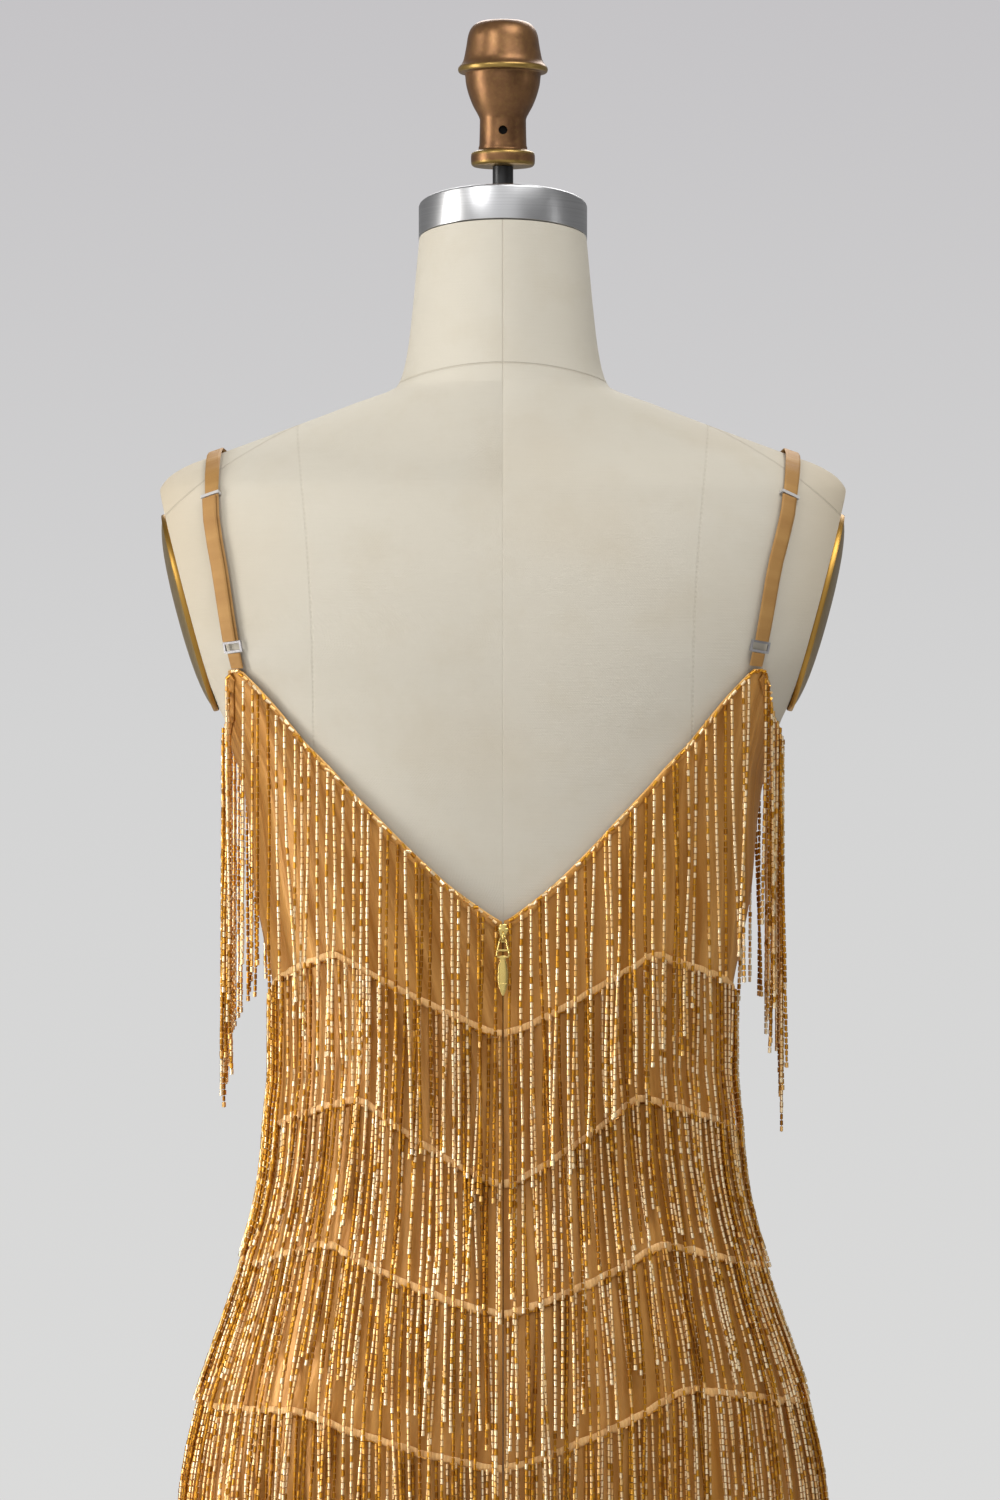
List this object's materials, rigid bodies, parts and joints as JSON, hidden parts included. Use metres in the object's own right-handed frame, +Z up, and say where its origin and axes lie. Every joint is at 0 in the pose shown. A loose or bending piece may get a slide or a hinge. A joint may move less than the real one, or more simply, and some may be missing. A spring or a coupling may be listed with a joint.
{
  "type": "fringe dress on dress form",
  "caption": "Short gold dress with tiers of bugle-bead fringe, a low V back, thin straps and a centre-back zip, hung on a canvas dress form with a round base.",
  "frame": {"origin": "on the floor, in the middle of the base's underside", "axes": "+Z up; the back of the dress, which the picture shows, faces -Y; +X is the wearer's right"},
  "size_m": [0.4, 0.4, 1.6228],
  "materials": {
    "gold_cloth": "tan gold satin",
    "gold_beads": "silver-lined gold glass, polished",
    "gold_metal": "polished gold",
    "silver_metal": "polished",
    "canvas": "natural linen canvas, matte",
    "steel": "brushed",
    "copper": "aged copper",
    "black_metal": "satin black"
  },
  "bodies": {
    "dress_on_form": {"arm_plate_left": "copper", "arm_plate_right": "copper", "back_left": "gold_cloth", "back_right": "gold_cloth", "base": "black_metal", "finial": "copper", "form_torso": "canvas", "fringe_armhole_left": "gold_beads", "fringe_armhole_right": "gold_beads", "fringe_back_neck_left": "gold_beads", "fringe_back_neck_right": "gold_beads", "fringe_front_neck": "gold_beads", "fringe_tier_1": "gold_beads", "fringe_tier_2": "gold_beads", "fringe_tier_3": "gold_beads", "fringe_tier_4": "gold_beads", "fringe_tier_5": "gold_beads", "fringe_tier_6": "gold_beads", "front": "gold_cloth", "neck_cap": "steel", "neck_rod": "black_metal", "pole": "black_metal", "strap_adjuster_left": "silver_metal", "strap_adjuster_right": "silver_metal", "strap_fold_left": "gold_cloth", "strap_fold_right": "gold_cloth", "strap_left": "gold_cloth", "strap_right": "gold_cloth", "strap_ring_left": "silver_metal", "strap_ring_right": "silver_metal", "strap_tab_left": "gold_cloth", "strap_tab_right": "gold_cloth", "zip_chain": "gold_metal", "zip_slider": "gold_metal"},
    "pull": {"zip_pull": "gold_metal"}
  },
  "joints": [
    {"name": "pull_swing", "type": "hinge", "parent": "dress_on_form", "child": "pull", "pos_m": [0, -0.08426, 1.0945], "axis": [-1, 0, 0], "range_deg": [0, 150]}
  ]
}
